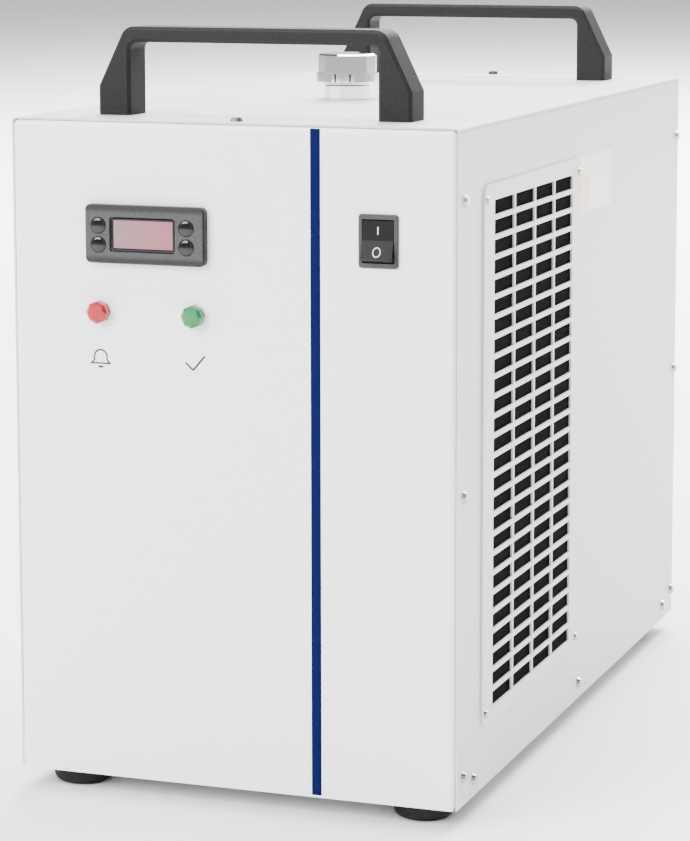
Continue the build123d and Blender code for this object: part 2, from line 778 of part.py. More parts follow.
def make_condenser():
    """The condenser: a finned block between two end plates that stand on the tray."""
    x1 = inner_half - condenser_side_gap
    x0 = x1 - condenser_core
    y0, y1 = condenser_front, condenser_front + condenser_length
    z1 = tray_floor + condenser_height
    core = slab(x0, x1, y0 + condenser_plate, y1 - condenser_plate, tray_floor + 20, z1 - 6)
    plates = [slab(x0 - 4, x1 + 4, y, y + condenser_plate, tray_floor, z1) for y in (y0, y1 - condenser_plate)]
    bends = []
    for row in range(condenser_bends):
        z = tray_floor + 50 + row * 46
        loop = revolve(Plane.XZ * Pos(12, 0) * RegularPolygon(pipe_r, 8), Axis.Z, 180)
        bends.append(Plane(origin=((x0 + x1) / 2, y0, z), x_dir=(0, 0, 1), z_dir=(1, 0, 0)).location * loop)
    return core + plates, bends


def make_compressor():
    """The compressor: a welded steel can on a plate with four ears."""
    z0 = tray_floor + grommet_height
    can_r = compressor_r
    can = turned(upright(compressor_x, compressor_y, z0), (0, 0), (can_r - 8, 0), (can_r, 10),
                 (can_r, compressor_height - 40), (can_r - 8, compressor_height - 18),
                 (can_r - 28, compressor_height - 4), (0, compressor_height))
    side = 2 * grommet_spread + 24
    plate = extrude(upright(compressor_x, compressor_y, z0) * RectangleRounded(side, side, 14), 3)
    plate -= [disc(upright(x, y, z0 - 1), 4.2, 5) for x, y in grommet_places()]
    return can + plate


def make_grommets():
    """The rubber mounts between the compressor's plate and the tray."""
    return [tube(upright(x, y, tray_floor), grommet_r, 3.3, grommet_height) for x, y in grommet_places()]


def make_evaporator():
    """The plate heat exchanger in its foam jacket, with four stubs on its front."""
    size_x, size_y, size_z = evaporator_size
    block = slab(evaporator_x, evaporator_x + size_x, evaporator_y + 10, evaporator_y + size_y,
                 tray_floor, tray_floor + size_z)
    block = fillet(block.edges().filter_by(Axis.Z), 8)
    stubs = [disc(forward(evaporator_x + x, evaporator_y + 10, tray_floor + z), 5, 10)
             for x in (16, size_x - 16) for z in (22, size_z - 22)]
    return block + stubs


def make_drier():
    """The filter drier: a copper cylinder drawn in at both ends, standing on its bracket."""
    z0 = tray_floor + 60
    shell = turned(upright(drier_x, drier_y, z0), (0, 0), (4, 0), (drier_r, 14), (drier_r, drier_length - 14),
                   (4, drier_length), (0, drier_length))
    return shell


def make_drier_bracket():
    """The folded bracket that holds the drier up from the tray."""
    z1 = tray_floor + 60 + drier_length / 2
    y0 = drier_y + drier_r
    post = slab(drier_x - 9, drier_x + 9, y0, y0 + 1.5, tray_floor, z1 + 8)
    foot = slab(drier_x - 9, drier_x + 9, y0, y0 + 16, tray_floor, tray_floor + 1.5)
    band = tube(upright(drier_x, drier_y, z1 - 6), drier_r + 1.2, drier_r, 12)
    return post + foot + band


def make_pump():
    """The pump: a motor can with end bells, and the round pump head on its front."""
    z = tray_floor + pump_axis_height
    motor = disc(backward(pump_x, pump_y + pump_head_length, z), pump_motor_r, pump_motor_length)
    head = disc(backward(pump_x, pump_y, z), pump_head_r, pump_head_length)
    head = fillet(head.faces().sort_by(Axis.Y)[0].edges(), 6)
    inlet = disc(forward(pump_x, pump_y, z), 8, 14)
    outlet = disc(upright(pump_x + pump_head_r - 12, pump_y + pump_head_length / 2, z), 8, pump_head_r + 14)
    return motor + head + inlet + outlet


def make_pump_bracket():
    """The saddle under the pump's motor."""
    z = tray_floor + pump_axis_height
    y0 = pump_y + pump_head_length + 20
    saddle = slab(pump_x - 34, pump_x + 34, y0, y0 + 50, tray_floor, z - 10)
    saddle -= slab(pump_x - 24, pump_x + 24, y0 - 1, y0 + 51, tray_floor - 1, z - pump_motor_r - 6)
    return saddle - disc(backward(pump_x, y0 - 1, z), pump_motor_r, 52)


def make_electrical_plate():
    """The upright plate that carries the electrical parts behind the controller."""
    x0, x1 = plate_x
    plate = slab(x0, x1, plate_y, plate_y + plate_sheet, shelf_z, shelf_z + plate_rise)
    return plate + slab(x0, x1, plate_y, plate_y + 18, shelf_z, shelf_z + plate_sheet)


def make_relay():
    """The power relay, on the plate's back."""
    y0 = plate_y + plate_sheet
    body = slab(-100, -58, y0, y0 + 36, shelf_z + 50, shelf_z + 100)
    return body + slab(-96, -62, y0 + 36, y0 + 42, shelf_z + 62, shelf_z + 88)


def make_capacitor():
    """The compressor's run capacitor, strapped to the plate's back."""
    y0 = plate_y + plate_sheet
    return disc(upright(-20, y0 + 18, shelf_z + 30), 18, 70)


def make_terminal_block():
    """The terminal block: a row of cells between raised walls."""
    y0 = plate_y + plate_sheet
    block = slab(14, 74, y0, y0 + 16, shelf_z + 60, shelf_z + 84)
    cells = [slab(18 + 9 * n, 24 + 9 * n, y0 + 8, y0 + 17, shelf_z + 59, shelf_z + 85) for n in range(6)]
    return block - cells


def make_barb(place):
    """A hose fitting: a flanged hexagon on the panel and a ridged spout, bored through."""
    x, z = place[0], base_z + place[1]
    hexagon = extrude(backward(x, body_depth, z) * RegularPolygon(barb_hex_r, 6), barb_hex_height)
    tip = barb_hex_height + barb_length
    ridges = [(0, barb_hex_height), (barb_r - 0.8, barb_hex_height)]
    for number in range(4):
        start = tip - 5 * (4 - number)
        ridges += [(barb_r - 0.8, start), (barb_r, start + 0.6), (barb_r - 0.8, start + 4.4)]
    spout = turned(backward(x, body_depth, z), *ridges, (0, tip))
    tail = disc(backward(x, body_depth - 26, z), barb_r, 26)
    nut = extrude(backward(x, body_depth - sheet - 5, z) * RegularPolygon(barb_hex_r, 6), 5)
    return hexagon + spout + tail + nut - disc(backward(x, body_depth - 27, z), barb_bore_r, 27 + tip + 1)


def make_gauge_frame():
    """The level gauge's two end blocks on a backing strip."""
    z0, z1 = (base_z + z for z in gauge_z)
    half = gauge_width / 2
    strip = slab(gauge_x - half, gauge_x + half, body_depth, body_depth + 2, z0, z1)
    ends = [slab(gauge_x - half, gauge_x + half, body_depth, body_depth + gauge_depth, z, z + 18)
            for z in (z0, z1 - 18)]
    frame = strip + ends
    frame -= disc(upright(gauge_x, body_depth + gauge_depth / 2 + 1, z0 + 6), gauge_tube_r + 0.05, z1 - z0 - 12)
    tails = [disc(backward(gauge_x, body_depth - 14, z), 4, 14) for z in (z0 + 9, z1 - 9)]
    return frame + tails


def make_gauge_tube():
    """The level gauge's clear tube between the end blocks."""
    z0, z1 = (base_z + z for z in gauge_z)
    return tube(upright(gauge_x, body_depth + gauge_depth / 2 + 1, z0 + 6), gauge_tube_r, gauge_tube_r - 1.2,
                z1 - z0 - 12)


def inlet_at(dz, y):
    """A plane on the mains inlet, measured from its middle."""
    return backward(inlet_x, y, base_z + inlet_z + dz)


def inlet_middles():
    """The heights of the socket and of the fuse drawer above the inlet's middle."""
    drawer = -(inlet_height - fuse_drawer_size[1]) / 2 + 4.5
    socket = (inlet_height - inlet_cavity[1]) / 2 - 5.5
    return socket, drawer


def make_power_inlet():
    """The mains inlet: an eared flange, a six-sided socket with three pins, and the fuse drawer's slot."""
    width, height, depth = inlet_cavity
    socket, drawer = inlet_middles()
    ears = extrude(inlet_at(0, body_depth) * (RectangleRounded(inlet_width, 22, 8)
                                              + RectangleRounded(inlet_width - 16, inlet_height, 2)), 3)
    case = extrude(inlet_at(0, body_depth - 26) * Rectangle(inlet_width - 19, inlet_height - 9), 26)
    cut = 5.0
    half_w, half_h = width / 2, height / 2
    outline = Polyline((-half_w, -half_h), (half_w, -half_h), (half_w, half_h - cut), (half_w - cut, half_h),
                       (-half_w + cut, half_h), (-half_w, half_h - cut), close=True)
    body = ears + case - extrude(inlet_at(socket, body_depth + 3 - depth) * make_face(outline), depth + 1)
    drawer_w, drawer_h, drawer_d = fuse_drawer_size
    body -= extrude(inlet_at(drawer, body_depth + 3 - drawer_d - seat_gap)
                    * Rectangle(drawer_w + 2 * seat_gap, drawer_h + 2 * seat_gap), drawer_d + 5)
    pins = [extrude(inlet_at(socket + dz, body_depth + 2.5 - depth) * Pos(dx, 0) * Rectangle(2, 5), depth - 3)
            for dx, dz in ((-7, -2), (7, -2), (0, 3))]
    return body + pins


def make_fuse_drawer():
    """The fuse drawer: a small tray with a finger lip, level with the inlet's face."""
    drawer = inlet_middles()[1]
    width, height, depth = fuse_drawer_size
    y0 = body_depth + 3 - depth
    box = extrude(inlet_at(drawer, y0) * Rectangle(width, height), depth)
    box -= slab(inlet_x - width / 2 + 1.5, inlet_x + width / 2 - 1.5, y0 + 2, y0 + depth - 3,
                base_z + inlet_z + drawer - height / 2 + 1.5, base_z + inlet_z + drawer + height)
    lip = extrude(inlet_at(drawer - height / 2 + 1.5, y0 + depth) * Rectangle(8, 2), 1.5)
    return box + lip


def make_alarm_connector():
    """The round alarm output: a shell with a keyed rim and its pins."""
    x, z = alarm_x, base_z + alarm_z
    shell = disc(backward(x, body_depth - 12, z), alarm_r - 1.5, 12) + disc(backward(x, body_depth, z), alarm_r, 5)
    well = disc(backward(x, body_depth - 4, z), alarm_r - 3, 10)
    pins = [disc(backward(x + 3 * cos(a), body_depth - 5, z + 3 * sin(a)), 0.8, 7)
            for a in (0, 2 * pi / 3, 4 * pi / 3)]
    return shell - well + pins


def drain_at(y):
    """A plane on the drain's middle."""
    return backward(drain_place[0], y, base_z + drain_place[1])


def make_drain():
    """The drain stub: a bored thread with a hexagon that seats on the panel and a nut inside."""
    body = disc(drain_at(body_depth - 24), drain_thread_r, 24 + drain_reach)
    body += extrude(drain_at(body_depth) * RegularPolygon(drain_cap_r, 6), drain_hex_height)
    body += extrude(drain_at(body_depth - sheet - 5) * RegularPolygon(drain_cap_r, 6), 5)
    return body - disc(drain_at(body_depth - 25), drain_thread_r - 3, 26 + drain_reach)


def make_drain_cap():
    """The drain's cap: a ribbed cup, closed at its outer end."""
    start = body_depth + drain_hex_height + drain_washer
    cap = disc(drain_at(start), drain_cap_r - 0.5, drain_cap_depth)
    cap = chamfer(cap.faces().sort_by(Axis.Y)[-1].edges(), 1)
    grooves = [disc(Plane(origin=(drain_place[0] + drain_cap_r * cos(a), start - 1,
                                  base_z + drain_place[1] + drain_cap_r * sin(a)), x_dir=(1, 0, 0),
                          z_dir=(0, 1, 0)), 1.6, drain_cap_depth + 2)
               for a in [2 * pi * n / 10 for n in range(10)]]
    bore_end = body_depth + drain_reach + seat_gap
    return cap - grooves - disc(drain_at(start - 1), drain_thread_r + cap_clearance, bore_end - start + 1)


def make_cover_screws():
    """The screws that hold the cover: down both sides, and one at each end of the top."""
    half = body_width / 2
    grip = 7.0
    screws = []
    for y, z in side_screw_places():
        screws.append(pan_screw(sideways(half, y, z), grip))
        screws.append(pan_screw(Plane(origin=(-half, y, z), x_dir=(0, -1, 0), z_dir=(-1, 0, 0)), grip))
    for y in (front_screw_y, body_depth - rear_screw_inset):
        screws.append(pan_screw(upright(0, y, top_z), grip))
    return screws


def make_grille_screws():
    """The screws in the corners of both grille plates."""
    face = body_width / 2 + grille_sheet
    screws = []
    for y, z in grille_screw_places():
        for plane in (sideways(face, y, z), Plane(origin=(-face, y, z), x_dir=(0, -1, 0), z_dir=(-1, 0, 0))):
            screws.append(pan_screw(plane, 5.0, grille_screw_r, grille_screw_head_r, 1.6))
    return screws


def make_handle_bolts():
    """The bolts that come up through the cover into the handles' legs."""
    bolts = []
    for x, y in handle_bolt_places():
        seat = upright(x, y, top_z - sheet)
        shank = extrude(seat * RegularPolygon(handle_bolt_r - 0.1, 8), handle_bolt_length - 4)
        bolts.append(shank + extrude(seat * RegularPolygon(5, 6), -4))
    return bolts


def build():
    """Make and save every piece."""
    save("base_tray", make_tray())
    save("front_panel", make_front_panel())
    save("rear_panel", make_rear_panel())
    save("wrap_cover", make_cover())
    for name, side in (("right", 1), ("left", -1)):
        save(f"{name}_grille", make_grille(side))
        save(f"{name}_filter", make_filter(side))
    for name, middle_y in zip(("front", "rear"), handle_places()):
        save(f"{name}_handle", make_handle(middle_y))
    save("filler_neck", make_filler_neck())
    save("filler_cap", make_filler_cap())
    save("filler_gasket", tube(upright(filler_x, filler_y, top_z + collar_height), collar_r - 0.8,
                               neck_r + cap_clearance, gasket_thickness))
    save("controller_bezel", make_bezel())
    save("controller_case", make_controller_case())
    save("controller_clamps", *make_controller_clamps())
    save("display_window", make_window())
    for name, place in zip(("up_left", "down_left", "up_right", "down_right"), button_places()):
        save(f"button_{name}", make_button(*place))
    save("rocker_frame", make_rocker_frame())
    save("rocker", make_rocker())
    for name, x in zip(("alarm", "normal"), lamp_x):
        save(f"{name}_lens", make_lens(x))
    save("lamp_bodies", *[make_lamp_body(x) for x in lamp_x])
    for name, place in zip(("front_left", "front_right", "rear_left", "rear_right"), foot_places()):
        save(f"foot_{name}", make_foot(*place))
    save("bolts", *[make_foot_bolt(x, y) for x, y in foot_places()], *make_handle_bolts())
    save("fan_shroud", make_fan_shroud())
    save("fan_motor", make_fan_motor())
    save("fan_rotor", make_fan_rotor())
    save("fan_guard", make_fan_guard())
    save("tank_shelf", make_shelf())
    save("water_tank", make_tank())
    core, bends = make_condenser()
    save("condenser", core)
    save("copper_pipes", *bends)
    save("compressor", make_compressor())
    save("compressor_mounts", *make_grommets())
    save("heat_exchanger", make_evaporator())
    save("filter_drier", make_drier())
    save("pump", make_pump())
    save("brackets", make_drier_bracket(), make_pump_bracket(), make_electrical_plate())
    save("power_relay", make_relay())
    save("run_capacitor", make_capacitor())
    save("terminal_block", make_terminal_block())
    save("water_outlet", make_barb(outlet_place))
    save("water_return", make_barb(return_place))
    save("gauge_frame", make_gauge_frame())
    save("gauge_tube", make_gauge_tube())
    save("power_inlet", make_power_inlet())
    save("fuse_drawer", make_fuse_drawer())
    save("alarm_connector", make_alarm_connector())
    save("drain_fitting", make_drain())
    save("drain_cap", make_drain_cap())
    save("drain_washer", tube(drain_at(body_depth + drain_hex_height), drain_cap_r - 2.2,
                              drain_thread_r + cap_clearance, drain_washer))
    save("cabinet_screws", *make_cover_screws(), *make_grille_screws(), *make_fan_screws())


build()
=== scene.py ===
"""Looks of a benchtop recirculating chiller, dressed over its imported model.

The frame is in metres: +X to the right seen from the front, +Y to the back, +Z up.
"""
import math

import bmesh
import bpy
import numpy as np
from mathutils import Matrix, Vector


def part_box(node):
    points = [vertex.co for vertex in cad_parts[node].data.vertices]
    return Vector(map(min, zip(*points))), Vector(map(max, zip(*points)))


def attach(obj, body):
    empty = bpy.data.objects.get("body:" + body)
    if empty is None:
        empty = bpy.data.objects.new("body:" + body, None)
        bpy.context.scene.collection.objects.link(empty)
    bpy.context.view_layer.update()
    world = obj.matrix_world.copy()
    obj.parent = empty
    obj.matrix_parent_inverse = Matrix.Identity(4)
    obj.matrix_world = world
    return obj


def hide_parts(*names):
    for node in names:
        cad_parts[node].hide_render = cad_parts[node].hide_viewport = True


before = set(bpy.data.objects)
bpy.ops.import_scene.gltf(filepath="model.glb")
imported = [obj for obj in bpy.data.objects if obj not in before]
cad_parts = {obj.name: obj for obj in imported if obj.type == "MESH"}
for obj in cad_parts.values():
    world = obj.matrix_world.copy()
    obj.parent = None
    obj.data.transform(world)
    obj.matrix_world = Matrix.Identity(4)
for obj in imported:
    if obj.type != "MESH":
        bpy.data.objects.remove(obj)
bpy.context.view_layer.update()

# ---------------------------------------------------------------- the bench and the light
# The chiller stands on a plain pale bench, in a studio with one large soft lamp in front and to the
# left, a weaker one on the right, broad ones overhead and behind, and dark screens between pale walls.
bench_mesh = bpy.data.meshes.new("bench")
bench_mesh.from_pydata([(-60, -60, 0), (60, -60, 0), (60, 60, 0), (-60, 60, 0)], [], [(0, 1, 2, 3)])
bench = bpy.data.objects.new("bench", bench_mesh)
bpy.context.scene.collection.objects.link(bench)
bench_white = bpy.data.materials.new("bench_white")
bench_white.use_nodes = True
bench_shader = bench_white.node_tree.nodes["Principled BSDF"]
bench_shader.inputs["Base Color"].default_value = (0.93, 0.93, 0.93, 1)
bench_shader.inputs["Roughness"].default_value = 0.75
bench_mesh.materials.append(bench_white)


def soft_lamp(name, place, target, size, power):
    """A square area lamp at place, facing target: its -Z axis is turned along the line between them."""
    lamp = bpy.data.lights.new(name, "AREA")
    lamp.shape = "SQUARE"
    lamp.size = size
    lamp.energy = power
    holder = bpy.data.objects.new(name, lamp)
    bpy.context.scene.collection.objects.link(holder)
    away = np.array(target, float) - np.array(place, float)
    reach = math.hypot(away[0], away[1])
    holder.location = place
    holder.rotation_euler = (math.pi / 2 + math.atan2(away[2], reach), 0, math.atan2(-away[0], away[1]))


soft_lamp("lamp_front", (-1.3, -2.3, 1.7), (0, 0, 0.2), 1.6, 165)
soft_lamp("lamp_right", (2.4, -0.6, 1.2), (0, 0, 0.2), 1.4, 5)
soft_lamp("lamp_top", (0.1, 0.2, 2.4), (0, 0, 0.2), 1.8, 120)
soft_lamp("lamp_behind", (0.0, 4.2, 3.2), (0, 4.6, 0), 4.0, 1500)

studio = bpy.data.worlds.new("studio")
studio.use_nodes = True
sky_nodes, sky_links = studio.node_tree.nodes, studio.node_tree.links
sky_place, sky_split, sky_turn, sky_lobes, sky_wave, sky_shade = (
    sky_nodes.new("ShaderNodeTexCoord"), sky_nodes.new("ShaderNodeSeparateXYZ"), sky_nodes.new("ShaderNodeMath"),
    sky_nodes.new("ShaderNodeMath"), sky_nodes.new("ShaderNodeMath"), sky_nodes.new("ShaderNodeMapRange"))
sky_turn.operation, sky_lobes.operation, sky_wave.operation = "ARCTAN2", "MULTIPLY", "SINE"
sky_lobes.inputs[1].default_value = 4
sky_shade.inputs["From Min"].default_value = -0.25
sky_shade.inputs["From Max"].default_value = 0.25
sky_shade.inputs["To Min"].default_value = 0.15
sky_links.new(sky_place.outputs["Generated"], sky_split.inputs["Vector"])
sky_links.new(sky_split.outputs["Y"], sky_turn.inputs[0])
sky_links.new(sky_split.outputs["X"], sky_turn.inputs[1])
sky_links.new(sky_turn.outputs[0], sky_lobes.inputs[0])
sky_links.new(sky_lobes.outputs[0], sky_wave.inputs[0])
sky_links.new(sky_wave.outputs[0], sky_shade.inputs["Value"])
sky_links.new(sky_shade.outputs["Result"], sky_nodes["Background"].inputs["Color"])
sky_nodes["Background"].inputs["Strength"].default_value = 1.25
bpy.context.scene.world = studio

lens = bpy.data.cameras.new("camera")
lens.lens = 125.78
lens.sensor_width = 36
lens.shift_x = -0.0380
lens.shift_y = -0.13
lens.clip_end = 150
camera = bpy.data.objects.new("camera", lens)
camera.location = (0.66926, -1.91798, 0.55607)
camera.rotation_euler = (math.pi / 2 - 0.137977, 0, 0.338637)
bpy.context.scene.collection.objects.link(camera)
bpy.context.scene.camera = camera

# ---------------------------------------------------------------- the base tray
# A shallow folded tray of painted sheet steel carries the machinery. Its coat is a fine powder that
# melted into low dimples, which every coated and moulded piece of the chiller shows in its own size.


def surface_grain():
    """A node group: two noises of one point of the piece give a mottled colour, a roughness and a height.

    Colour is Low mixed to High by the coarse noise, Roughness is the coarse noise carried onto Rough Low
    to Rough High, and Height is the noise five times finer.
    """
    group = bpy.data.node_groups.new("surface_grain", "ShaderNodeTree")
    for name, kind in (("Vector", "NodeSocketVector"), ("Scale", "NodeSocketFloat"), ("Low", "NodeSocketColor"),
                       ("High", "NodeSocketColor"), ("Rough Low", "NodeSocketFloat"),
                       ("Rough High", "NodeSocketFloat")):
        group.interface.new_socket(name, in_out="INPUT", socket_type=kind)
    for name, kind in (("Color", "NodeSocketColor"), ("Roughness", "NodeSocketFloat"), ("Height", "NodeSocketFloat")):
        group.interface.new_socket(name, in_out="OUTPUT", socket_type=kind)
    add, wire = group.nodes.new, group.links.new
    inside, outside = add("NodeGroupInput"), add("NodeGroupOutput")
    coarse, fine, finer = add("ShaderNodeTexNoise"), add("ShaderNodeTexNoise"), add("ShaderNodeMath")
    coarse.inputs["Detail"].default_value = 4
    fine.inputs["Detail"].default_value = 2
    finer.operation = "MULTIPLY"
    finer.inputs[1].default_value = 5
    tint, spread = add("ShaderNodeMix"), add("ShaderNodeMapRange")
    tint.data_type = "RGBA"
    wire(inside.outputs["Vector"], coarse.inputs["Vector"])
    wire(inside.outputs["Vector"], fine.inputs["Vector"])
    wire(inside.outputs["Scale"], coarse.inputs["Scale"])
    wire(inside.outputs["Scale"], finer.inputs[0])
    wire(finer.outputs[0], fine.inputs["Scale"])
    wire(coarse.outputs["Fac"], tint.inputs["Factor"])
    wire(inside.outputs["Low"], tint.inputs["A"])
    wire(inside.outputs["High"], tint.inputs["B"])
    wire(coarse.outputs["Fac"], spread.inputs["Value"])
    wire(inside.outputs["Rough Low"], spread.inputs["To Min"])
    wire(inside.outputs["Rough High"], spread.inputs["To Max"])
    wire(tint.outputs["Result"], outside.inputs["Color"])
    wire(spread.outputs["Result"], outside.inputs["Roughness"])
    wire(fine.outputs["Fac"], outside.inputs["Height"])
    return group


grain_group = surface_grain()


def finish(name, low, high, rough, scale, dimples, metallic=0.0, coat=0.0, clear=0.0, shine=0.5):
    """A material whose colour, roughness and relief come from the shared grain at this scale.

    low and high are linear colours, rough the span of roughness, dimples the depth of the relief in metres,
    and shine how strongly the bare surface mirrors.
    """
    made = bpy.data.materials.new(name)
    made.use_nodes = True
    add, wire = made.node_tree.nodes.new, made.node_tree.links.new
    shader = made.node_tree.nodes["Principled BSDF"]
    shader.inputs["Metallic"].default_value = metallic
    shader.inputs["Coat Weight"].default_value = coat
    shader.inputs["Coat Roughness"].default_value = 0.08
    shader.inputs["Transmission Weight"].default_value = clear
    shader.inputs["Specular IOR Level"].default_value = shine
    place, grain, relief = add("ShaderNodeTexCoord"), add("ShaderNodeGroup"), add("ShaderNodeBump")
    grain.name = "grain"
    grain.node_tree = grain_group
    grain.inputs["Scale"].default_value = scale
    grain.inputs["Low"].default_value = (*low, 1)
    grain.inputs["High"].default_value = (*high, 1)
    grain.inputs["Rough Low"].default_value = rough[0]
    grain.inputs["Rough High"].default_value = rough[1]
    relief.name = "relief"
    relief.inputs["Distance"].default_value = dimples
    wire(place.outputs["Object"], grain.inputs["Vector"])
    wire(grain.outputs["Color"], shader.inputs["Base Color"])
    wire(grain.outputs["Roughness"], shader.inputs["Roughness"])
    wire(grain.outputs["Height"], relief.inputs["Height"])
    wire(relief.outputs["Normal"], shader.inputs["Normal"])
    return made


def coat_nodes(material, *nodes):
    """Gives the material to every slot of these CAD nodes."""
    for node in nodes:
        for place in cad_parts[node].material_slots:
            place.material = material


tray_paint = finish("tray_paint", (0.66, 0.66, 0.65), (0.76, 0.76, 0.75), (0.35, 0.55), 60, 0.00012)
coat_nodes(tray_paint, "base_tray")

# ---------------------------------------------------------------- the feet
# Four black rubber feet are moulded with a rounded lower edge and a recess, and a bolt up through each
# holds it against the tray.


def piece(name, points, faces, material, body, slot=None, stands_for=(), smooth=True):
    """A mesh of these points and faces, riding on the body, with its seams merged and its faces outward."""
    made = bpy.data.meshes.new(name)
    made.from_pydata(np.asarray(points, float).reshape(-1, 3).tolist(), [], faces)
    sewn = bmesh.new()
    sewn.from_mesh(made)
    bmesh.ops.remove_doubles(sewn, verts=sewn.verts, dist=1e-7)
    bmesh.ops.recalc_face_normals(sewn, faces=sewn.faces)
    sewn.to_mesh(made)
    sewn.free()
    made.materials.append(material)
    made.polygons.foreach_set("use_smooth", np.full(len(made.polygons), smooth))
    holder = bpy.data.objects.new(name, made)
    bpy.context.scene.collection.objects.link(holder)
    if smooth:
        made.set_sharp_from_angle(angle=math.radians(32))
    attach(holder, body)
    if stands_for:
        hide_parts(*stands_for)
    return holder


def grid_faces(rows, columns, close_columns=True):
    """The quads of a grid of points, numbered row by row, with the last column joined to the first if asked."""
    across = np.arange(columns if close_columns else columns - 1)
    start = np.arange(rows - 1)[:, None] * columns
    a, b = start + across, start + (across + 1) % columns
    return np.stack([a, b, b + columns, a + columns], axis=-1).reshape(-1, 4).tolist()


def turned(profile, turns=48):
    """Points of a profile of (radius, height) turned about the height's axis: (r cos t, r sin t, h)."""
    profile = np.asarray(profile, float)
    t = np.linspace(0, 2 * np.pi, turns, endpoint=False)
    r, h = profile[:, 0, None], profile[:, 1, None]
    points = np.stack([r * np.cos(t), r * np.sin(t), h + 0 * t], axis=-1)
    return points, grid_faces(len(profile), turns)


foot_rubber = finish("foot_rubber", (0.007, 0.007, 0.0075), (0.018, 0.018, 0.019),
                     (0.55, 0.75), 250, 0.0002, shine=0.15)
bowl = np.linspace(0, np.pi / 2, 9)
foot_profile = [(0.0026, 0.0129), (0.0026, 0.005), (0.007, 0.005), (0.007, 0.0)]
foot_profile += [(0.0133 + 0.006 * math.sin(a), 0.006 - 0.006 * math.cos(a)) for a in bowl]
foot_profile += [(0.0193, 0.0112), (0.0190, 0.0119), (0.0190, 0.0129), (0.0026, 0.0129)]
for foot in ("foot_front_left", "foot_front_right", "foot_rear_left", "foot_rear_right"):
    low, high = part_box(foot)
    foot_points, foot_faces = turned(foot_profile)
    foot_points = foot_points + np.array([(low[0] + high[0]) / 2, (low[1] + high[1]) / 2, 0])
    piece(foot + "_rubber", foot_points, foot_faces, foot_rubber, "cabinet", "rubber_black", [foot])

# ---------------------------------------------------------------- the cooling machinery
# The compressor, its exchanger in a foam jacket, the drier and the copper line are brazed together. The
# condenser stands behind the right grille, and the pump on the tray's left.
shell_paint = finish("shell_paint", (0.010, 0.010, 0.011), (0.022, 0.022, 0.024), (0.22, 0.4), 90, 0.0002, coat=0.3)
mount_rubber = finish("mount_rubber", (0.015, 0.015, 0.015), (0.035, 0.035, 0.035), (0.6, 0.8), 200, 0.0002)
line_copper = finish("line_copper", (0.62, 0.27, 0.14), (0.83, 0.42, 0.25), (0.18, 0.38), 70, 0.00006, metallic=1.0)
foam = finish("foam", (0.012, 0.012, 0.013), (0.05, 0.05, 0.052), (0.85, 0.95), 420, 0.0008)
pump_grey = finish("pump_grey", (0.08, 0.085, 0.09), (0.13, 0.135, 0.14), (0.35, 0.5), 110, 0.0002)
zinc = finish("zinc", (0.55, 0.56, 0.58), (0.72, 0.73, 0.74), (0.25, 0.45), 45, 0.00005, metallic=1.0)
cast_black = finish("cast_black", (0.012, 0.012, 0.013), (0.028, 0.028, 0.03), (0.4, 0.55), 300, 0.0001)
drawn_can = finish("drawn_can", (0.68, 0.69, 0.70), (0.80, 0.80, 0.81), (0.2, 0.36), 30, 0.00004, metallic=1.0)
terminal_grey = finish("terminal_grey", (0.42, 0.42, 0.40), (0.50, 0.50, 0.48), (0.4, 0.5), 200, 0.0001)
tank_white = finish("tank_white", (0.72, 0.74, 0.72), (0.84, 0.86, 0.84), (0.35, 0.5), 40, 0.0002, clear=0.25)
coat_nodes(shell_paint, "compressor")
coat_nodes(mount_rubber, "compressor_mounts")
coat_nodes(line_copper, "copper_pipes", "filter_drier")
coat_nodes(foam, "heat_exchanger")
coat_nodes(pump_grey, "pump")
coat_nodes(zinc, "brackets", "tank_shelf")
coat_nodes(cast_black, "power_relay")
coat_nodes(drawn_can, "run_capacitor")
coat_nodes(terminal_grey, "terminal_block")
coat_nodes(tank_white, "water_tank")


def ribbed(material, direction, pitch, depth, low, high):
    """Adds bands across the object: a sine of one coordinate, one wave each pitch, sets colour and relief."""
    add, wire = material.node_tree.nodes.new, material.node_tree.links.new
    place, bands, tint = add("ShaderNodeTexCoord"), add("ShaderNodeTexWave"), add("ShaderNodeMix")
    bands.bands_direction = direction
    bands.inputs["Scale"].default_value = math.pi / (10 * pitch)
    tint.data_type = "RGBA"
    tint.inputs["A"].default_value = (*low, 1)
    tint.inputs["B"].default_value = (*high, 1)
    wire(place.outputs["Object"], bands.inputs["Vector"])
    wire(bands.outputs["Fac"], tint.inputs["Factor"])
    wire(tint.outputs["Result"], material.node_tree.nodes["Principled BSDF"].inputs["Base Color"])
    relief = material.node_tree.nodes["relief"]
    wire(bands.outputs["Fac"], relief.inputs["Height"])
    relief.inputs["Distance"].default_value = depth


fin_metal_and_gap_shade = finish("fin_metal_and_gap_shade", (0.6, 0.61, 0.62), (0.75, 0.75, 0.76), (0.3, 0.45), 60, 0.0001, metallic=1.0)
# The dark half of each band is painted shade in the gaps between the condenser's fins, and the light half is their
# bare metal.
ribbed(fin_metal_and_gap_shade, "Z", 0.002, 0.0006, (0.14, 0.14, 0.15), (0.78, 0.79, 0.80))
coat_nodes(fin_metal_and_gap_shade, "condenser")

# ---------------------------------------------------------------- the cabinet's skins
# The front and rear panels and the cover that wraps over them are folded from sheet steel and coated in
# white powder, smooth at arm's length and faintly dimpled close up.
front_white = finish("front_white", (0.91, 0.91, 0.91), (0.94, 0.94, 0.94), (0.28, 0.42), 130, 0.00006, coat=0.15)
# The cover, the rear panel and the grille plates take a greyer copy of the front's white. This is painted shade that
# makes the top and sides render darker than the front.
cover_white_shaded = finish("cover_white_shaded", (0.60, 0.60, 0.595), (0.65, 0.65, 0.645), (0.34, 0.5), 110, 0.00008, coat=0.1)
coat_nodes(front_white, "front_panel")
coat_nodes(cover_white_shaded, "rear_panel", "wrap_cover")

